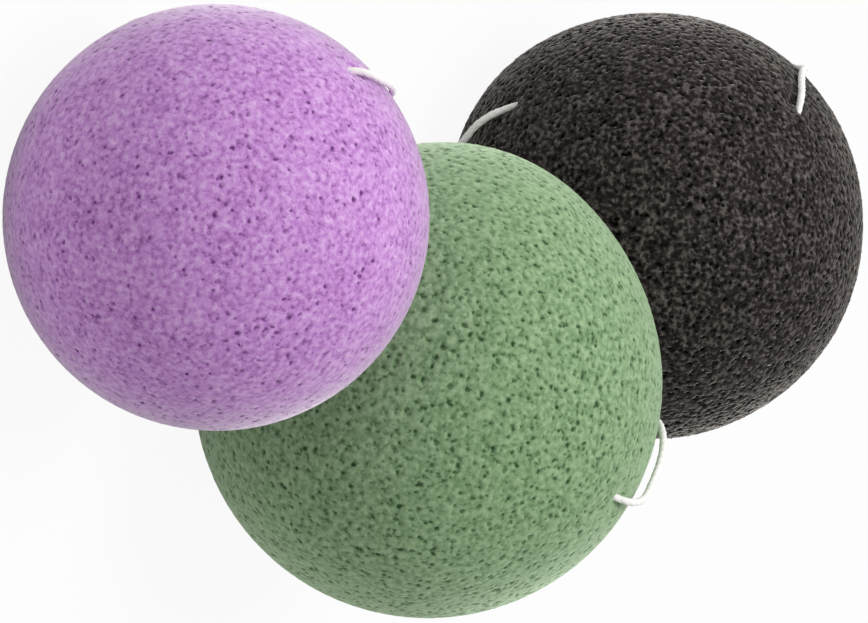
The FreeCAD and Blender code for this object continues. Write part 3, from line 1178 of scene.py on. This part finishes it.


# Foam finishes
# In each finish the first two layers darken the pores with painted shade and the third lightens the wall
# tips with a painted highlight.
LAVENDER = FoamFinish(
    name="lavender_foam",
    slot="purple_foam",
    wall=(0.508, 0.228, 0.590),
    pale_and_highlight=(0.72, 0.48, 0.78),
    pore_shade=(0.125, 0.028, 0.162),
    layers=(
        PoreLayer(cell=1.5, smallest=0.28, largest=0.5, depth=0.18, soft=0.8, fade=0.6, shade=0.54),
        PoreLayer(cell=1.1, smallest=0.25, largest=0.5, depth=0.07, soft=0.8, fade=0.55, shade=0.42),
        PoreLayer(cell=1.1, smallest=0.2, largest=0.5, depth=-0.04, soft=0.95, fade=0.6, shade=-0.32),
    ),
    wall_tone=0.56,
    skin_size_mm=1.0,
    skin_shade=1.1,
    grain_shade=0.5,
    mottle=0.35,
    ridge_mm=0.12,
    relief=0.4,
    sheen=1.0,
    sheen_spread=0.36,
    sheen_tint=(1.0, 0.97, 1.0),
    gloss=0.12,
    roughness=0.65,
    seed=11.0,
)
TEA_GREEN = FoamFinish(
    name="tea_green_foam",
    slot="green_foam",
    wall=(0.151, 0.260, 0.121),
    pale_and_highlight=(0.295, 0.432, 0.240),
    pore_shade=(0.014, 0.050, 0.011),
    layers=(
        PoreLayer(cell=1.45, smallest=0.38, largest=0.58, depth=0.22, soft=0.75, fade=0.35, shade=0.62),
        PoreLayer(cell=1.05, smallest=0.3, largest=0.56, depth=0.09, soft=0.85, fade=0.5, shade=0.5),
        PoreLayer(cell=1.15, smallest=0.22, largest=0.52, depth=-0.05, soft=0.95, fade=0.5, shade=-0.52),
    ),
    wall_tone=0.7,
    skin_size_mm=1.05,
    skin_shade=1.4,
    grain_shade=0.08,
    mottle=0.20,
    ridge_mm=0.16,
    relief=0.4,
    sheen=0.95,
    sheen_spread=0.45,
    sheen_tint=(0.76, 0.95, 0.68),
    gloss=0.12,
    roughness=0.68,
    seed=37.0,
)
CHARCOAL = FoamFinish(
    name="charcoal_foam",
    slot="charcoal_foam",
    wall=(0.0250, 0.0206, 0.0192),
    pale_and_highlight=(0.140, 0.125, 0.116),
    pore_shade=(0.0008, 0.0007, 0.0007),
    layers=(
        PoreLayer(cell=1.35, smallest=0.36, largest=0.6, depth=0.42, soft=0.75, fade=0.4, shade=0.54),
        PoreLayer(cell=1.0, smallest=0.3, largest=0.56, depth=0.16, soft=0.85, fade=0.5, shade=0.44),
        PoreLayer(cell=1.1, smallest=0.26, largest=0.5, depth=-0.14, soft=0.9, fade=0.6, shade=-0.46),
    ),
    wall_tone=0.55,
    skin_size_mm=0.9,
    skin_shade=1.45,
    grain_shade=0.12,
    mottle=0.25,
    ridge_mm=0.34,
    relief=0.5,
    sheen=1.0,
    sheen_spread=0.27,
    sheen_tint=(0.90, 0.85, 0.80),
    gloss=0.03,
    roughness=0.65,
    seed=71.0,
)

# Balls
PURPLE_BALL = FoamBall(
    node="purple_sponge",
    finish=LAVENDER,
    radius=0.0354,
    foot_sink=0.00496,
    axis_x=-0.001809,
    axis_y=-0.072950,
    exits_deg={Exit.UPPER: (183.0, 34.6), Exit.LOWER: (186.0, -33.0)},
)
GREEN_BALL = FoamBall(
    node="green_sponge",
    finish=TEA_GREEN,
    radius=0.0405,
    foot_sink=0.00567,
    axis_x=0.017252,
    axis_y=0.000752,
    exits_deg={Exit.UPPER: (29.2, 71.2), Exit.LOWER: (40.0, -10.0)},
    lumps=(Lump(towards=(-0.99, 0.03, 0.10), height=0.0018, spread_deg=30.0),),
)
CHARCOAL_BALL = FoamBall(
    node="charcoal_sponge",
    finish=CHARCOAL,
    radius=0.0380,
    foot_sink=0.00532,
    axis_x=-0.019750,
    axis_y=0.070348,
    exits_deg={Exit.UPPER: (197.0, 43.0), Exit.LOWER: (244.7, -26.3)},
    lumps=(
        Lump(towards=(-0.52, -0.43, -0.74), height=0.0009, spread_deg=26.0),
        Lump(towards=(-0.235, 0.486, 0.842), height=-0.0006, spread_deg=30.0),
        Lump(towards=(0.972, 0.118, 0.204), height=0.0006, spread_deg=26.0),
    ),
)

# Control points of the strands, from the foot of each ball
PURPLE_LONG = (
    (-0.0275, -0.0036, 0.0471), (-0.02885, -0.0015, 0.0504), (-0.0289, 0.0006, 0.0528),
    (-0.0283, 0.0036, 0.0532), (-0.0282, 0.0079, 0.0521), (-0.0276, 0.0136, 0.0499),
    (-0.0265, 0.0199, 0.0457), (-0.0248, 0.0260, 0.0372), (-0.0232, 0.0296, 0.0278),
    (-0.0224, 0.0314, 0.0185), (-0.0218, 0.0330, 0.0100), (-0.0218, 0.0350, 0.0036),
    (-0.0238, 0.0378, 0.0009), (-0.0263, 0.0435, 0.00285), (-0.0263, 0.0545, 0.00285),
    (-0.0252, 0.0605, 0.0015), (-0.0235, 0.0650, 0.0007),
)
PURPLE_SHORT = (
    (-0.0295, -0.0030, 0.0137), (-0.0295, -0.0032, 0.0097), (-0.0276, -0.0012, 0.0054),
    (-0.0260, 0.0026, 0.0020), (-0.0252, 0.0090, 0.0007), (-0.0258, 0.0165, 0.0007),
    (-0.0280, 0.0238, 0.0007), (-0.0294, 0.0310, 0.0007), (-0.0289, 0.0375, 0.0009),
    (-0.0277, 0.0435, 0.00285), (-0.0277, 0.0545, 0.00285), (-0.0288, 0.0605, 0.0015),
    (-0.0305, 0.0650, 0.0007),
)
GREEN_LONG = (
    (0.0107, 0.0032, 0.0698), (0.0113, 0.0063, 0.0729), (0.0116, 0.0095, 0.0745),
    (0.0105, 0.0140, 0.0740), (0.0080, 0.0182, 0.0723), (0.0046, 0.0214, 0.0712),
    (0.0010, 0.0240, 0.0698), (-0.0022, 0.0274, 0.0668), (-0.0040, 0.0322, 0.0614),
    (-0.0036, 0.0376, 0.0544), (-0.0010, 0.0414, 0.0440), (0.0020, 0.0428, 0.0330),
    (0.0044, 0.0432, 0.0220), (0.0060, 0.0434, 0.0115), (0.0076, 0.0443, 0.0040),
    (0.0115, 0.0458, 0.0007), (0.0170, 0.0472, 0.0007), (0.0213, 0.0515, 0.00285),
    (0.0213, 0.0625, 0.00285), (0.0202, 0.0685, 0.0015), (0.0185, 0.0730, 0.0007),
)
GREEN_SHORT = (
    (0.0296, 0.0247, 0.0299), (0.0311, 0.0262, 0.0265), (0.0334, 0.0286, 0.0185),
    (0.0346, 0.0310, 0.0105), (0.0346, 0.0350, 0.0034), (0.0328, 0.0406, 0.0007),
    (0.0280, 0.0446, 0.0007), (0.0242, 0.0470, 0.0010), (0.0227, 0.0515, 0.00285),
    (0.0227, 0.0625, 0.00285), (0.0240, 0.0685, 0.0016), (0.0260, 0.0730, 0.0007),
)
CHARCOAL_LONG = (
    (-0.0158, -0.0286, 0.0187), (-0.0144, -0.0306, 0.0160), (-0.0105, -0.0328, 0.0112),
    (-0.0055, -0.0323, 0.0083), (0.0005, -0.0318, 0.0042), (0.0070, -0.0312, 0.0010),
    (0.0140, -0.0290, 0.0007), (0.0205, -0.0245, 0.0007), (0.0260, -0.0180, 0.0007),
    (0.0295, -0.0100, 0.0007), (0.0308, -0.0010, 0.0007), (0.0300, 0.0080, 0.0007),
    (0.0268, 0.0170, 0.0007), (0.0212, 0.0250, 0.0007), (0.0140, 0.0315, 0.0007),
    (0.0065, 0.0365, 0.0007), (0.0000, 0.0405, 0.0007), (-0.0036, 0.0456, 0.0012),
    (-0.0043, 0.0505, 0.00285), (-0.0043, 0.0615, 0.00285), (-0.0030, 0.0675, 0.0015),
    (-0.0012, 0.0720, 0.0007),
)
CHARCOAL_SHORT = (
    (-0.0205, -0.0076, 0.0596), (-0.0246, -0.0070, 0.0594), (-0.0283, -0.0060, 0.0588),
    (-0.0301, -0.0036, 0.0570), (-0.0318, -0.0007, 0.0550), (-0.0330, 0.0034, 0.0528),
    (-0.0336, 0.0084, 0.0504), (-0.0337, 0.0148, 0.0470), (-0.0336, 0.0200, 0.0395),
    (-0.0333, 0.0228, 0.0305), (-0.0324, 0.0255, 0.0215), (-0.0310, 0.0285, 0.0124),
    (-0.0285, 0.0320, 0.0046), (-0.0250, 0.0370, 0.0007), (-0.0195, 0.0415, 0.0007),
    (-0.0135, 0.0435, 0.0007), (-0.0085, 0.0456, 0.0009), (-0.0057, 0.0505, 0.00285),
    (-0.0057, 0.0615, 0.00285), (-0.0070, 0.0675, 0.0015), (-0.0088, 0.0720, 0.0007),
)

# Strings
LOOPS = (
    StringLoop(
        ball=PURPLE_BALL,
        prefix="purple",
        body="purple_loop",
        long_exit=Exit.UPPER,
        long_route=PURPLE_LONG,
        short_route=PURPLE_SHORT,
        long_length=0.1060,
        short_length=0.0778,
    ),
    StringLoop(
        ball=GREEN_BALL,
        prefix="green",
        body="green_loop",
        long_exit=Exit.UPPER,
        long_route=GREEN_LONG,
        short_route=GREEN_SHORT,
        long_length=0.1394,
        short_length=0.0728,
    ),
    StringLoop(
        ball=CHARCOAL_BALL,
        prefix="charcoal",
        body="charcoal_sponge",
        long_exit=Exit.LOWER,
        long_route=CHARCOAL_LONG,
        short_route=CHARCOAL_SHORT,
        long_length=0.1594,
        short_length=0.1324,
    ),
)


def main() -> None:
    """Load the frame, set up the studio and dress the frame."""
    logging.basicConfig(level=logging.INFO, format="%(name)s: %(message)s")
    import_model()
    Studio().build()
    cotton = CottonFinish().material()
    for ball in (PURPLE_BALL, GREEN_BALL, CHARCOAL_BALL):
        ball.build()
        ball.dress()
    for loop in LOOPS:
        loop.build()
        loop.dress(cotton)


if __name__ == "__main__":
    main()
